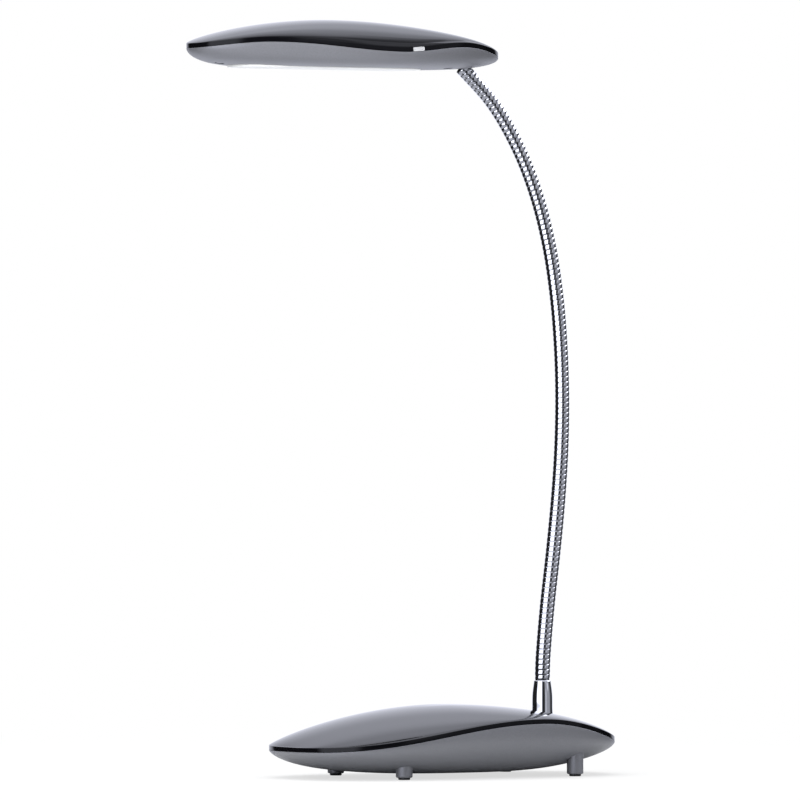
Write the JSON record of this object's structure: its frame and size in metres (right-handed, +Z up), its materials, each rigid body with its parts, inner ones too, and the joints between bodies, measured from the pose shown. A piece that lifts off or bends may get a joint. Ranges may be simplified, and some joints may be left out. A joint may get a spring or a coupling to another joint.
{
  "type": "gooseneck desk lamp",
  "caption": "Slim LED desk lamp: pebble-shaped weighted base, flexible chrome gooseneck and flat oval light head with a diffuser and a side power button.",
  "frame": {"origin": "bottom centre of the box round the whole lamp, on the desk", "axes": "+X towards the neck's foot, -X towards the front of the head, +Y towards the power inlet's side, +Z up"},
  "size_m": [0.2588, 0.12, 0.4181],
  "materials": {
    "gloss_black": "polished",
    "silver_paint": "satin metallic paint",
    "polished_chrome": "polished plating",
    "plain_steel": "zinc plated",
    "iron_casting": "as cast, black paint",
    "black_rubber": "matt",
    "green_board": "solder mask",
    "white_board": "white mask on aluminium",
    "heat_sink_aluminium": "as extruded",
    "milky_plastic": "opal",
    "black_plastic": "moulded",
    "chip_yellow": "phosphor",
    "capacitor_sleeve": "sleeved can"
  },
  "bodies": {
    "base": {"base_top_cover": "gloss_black", "base_lower_housing": "silver_paint", "foot_posts": "silver_paint", "foot_pads": "black_rubber", "foot_screws": "plain_steel", "ballast": "iron_casting", "base_screws": "plain_steel", "neck_collar": "polished_chrome", "collar_washer": "plain_steel", "collar_locknut": "plain_steel", "inlet_bezel": "gloss_black", "dc_jack": "black_plastic", "jack_pin": "polished_chrome", "driver_board": "green_board", "driver_choke": "iron_casting", "driver_capacitor": "capacitor_sleeve", "driver_chips": "black_plastic", "board_spacers": "plain_steel", "driver_screws": "plain_steel", "jack_lead": "black_rubber", "base_lead": "black_rubber", "neck_root": "polished_chrome", "neck_cable": "black_rubber"},
    "link_01": {"neck_link_01": "polished_chrome"},
    "link_02": {"neck_link_02": "polished_chrome"},
    "link_03": {"neck_link_03": "polished_chrome"},
    "link_04": {"neck_link_04": "polished_chrome"},
    "link_05": {"neck_link_05": "polished_chrome"},
    "link_06": {"neck_link_06": "polished_chrome"},
    "link_07": {"neck_link_07": "polished_chrome"},
    "link_08": {"neck_link_08": "polished_chrome"},
    "link_09": {"neck_link_09": "polished_chrome"},
    "link_10": {"neck_link_10": "polished_chrome"},
    "link_11": {"neck_link_11": "polished_chrome"},
    "head": {"neck_tail": "polished_chrome", "head_lower_housing": "silver_paint", "head_top_cover": "gloss_black", "diffuser": "milky_plastic", "light_frame": "milky_plastic", "led_board": "white_board", "led_chips": "chip_yellow", "heat_sink": "heat_sink_aluminium", "light_screws": "plain_steel", "head_screws": "plain_steel", "head_ferrule": "plain_steel", "ferrule_clamp": "iron_casting", "clamp_screws": "plain_steel", "switch_body": "black_plastic", "switch_board": "green_board", "switch_lead": "black_rubber", "head_lead": "black_rubber"},
    "button": {"switch_button": "silver_paint"}
  },
  "joints": [
    {"name": "neck_bend_lower", "type": "hinge", "parent": "base", "child": "link_01", "pos_m": [0.094, 0, 0.06519], "axis": [0, -1, 0], "range_deg": [-8, 12], "deforming": ["neck_cable"]},
    {"name": "neck_sway_lower", "type": "hinge", "parent": "link_01", "child": "link_02", "pos_m": [0.09678, 0, 0.09406], "axis": [0.9938, 0, -0.1115], "range_deg": [-10, 10]},
    {"name": "neck_bend_lower_2", "type": "hinge", "parent": "link_02", "child": "link_03", "pos_m": [0.10047, 0, 0.12282], "axis": [0, -1, 0], "range_deg": [-8, 12]},
    {"name": "neck_sway_lower_2", "type": "hinge", "parent": "link_03", "child": "link_04", "pos_m": [0.10365, 0, 0.15165], "axis": [0.9957, 0, -0.0924], "range_deg": [-10, 10]},
    {"name": "neck_bend_lower_3", "type": "hinge", "parent": "link_04", "child": "link_05", "pos_m": [0.10583, 0, 0.18057], "axis": [0, -1, 0], "range_deg": [-8, 12]},
    {"name": "neck_sway_lower_3", "type": "hinge", "parent": "link_05", "child": "link_06", "pos_m": [0.10648, 0, 0.20956], "axis": [1, 0, 0.0061], "range_deg": [-10, 10]},
    {"name": "neck_bend_upper", "type": "hinge", "parent": "link_06", "child": "link_07", "pos_m": [0.10547, 0, 0.23854], "axis": [0, -1, 0], "range_deg": [-15, 12]},
    {"name": "neck_sway_upper", "type": "hinge", "parent": "link_07", "child": "link_08", "pos_m": [0.10269, 0, 0.26741], "axis": [0.9909, 0, 0.1349], "range_deg": [-10, 10]},
    {"name": "neck_bend_upper_2", "type": "hinge", "parent": "link_08", "child": "link_09", "pos_m": [0.09766, 0, 0.29597], "axis": [0, -1, 0], "range_deg": [-15, 12]},
    {"name": "neck_sway_upper_2", "type": "hinge", "parent": "link_09", "child": "link_10", "pos_m": [0.08942, 0, 0.32377], "axis": [0.9367, 0, 0.3502], "range_deg": [-10, 10]},
    {"name": "neck_bend_upper_3", "type": "hinge", "parent": "link_10", "child": "link_11", "pos_m": [0.07739, 0, 0.35016], "axis": [0, -1, 0], "range_deg": [-15, 12]},
    {"name": "neck_sway_upper_3", "type": "hinge", "parent": "link_11", "child": "head", "pos_m": [0.06118, 0, 0.3742], "axis": [0.766, 0, 0.6428], "range_deg": [-10, 10]},
    {"name": "power_press", "type": "slide", "parent": "head", "child": "button", "axis": [-0.0823, 0.9966, 0], "range_m": [0, 0.0008], "stiffness_N_per_m": 900, "springref_m": -0.0004}
  ],
  "couplings": [
    {"joint": "neck_bend_lower_2", "follows": "neck_bend_lower", "ratio": 1},
    {"joint": "neck_bend_lower_3", "follows": "neck_bend_lower", "ratio": 1},
    {"joint": "neck_sway_lower_2", "follows": "neck_sway_lower", "ratio": 1},
    {"joint": "neck_sway_lower_3", "follows": "neck_sway_lower", "ratio": 1},
    {"joint": "neck_bend_upper_2", "follows": "neck_bend_upper", "ratio": 1},
    {"joint": "neck_bend_upper_3", "follows": "neck_bend_upper", "ratio": 1},
    {"joint": "neck_sway_upper_2", "follows": "neck_sway_upper", "ratio": 1},
    {"joint": "neck_sway_upper_3", "follows": "neck_sway_upper", "ratio": 1}
  ]
}
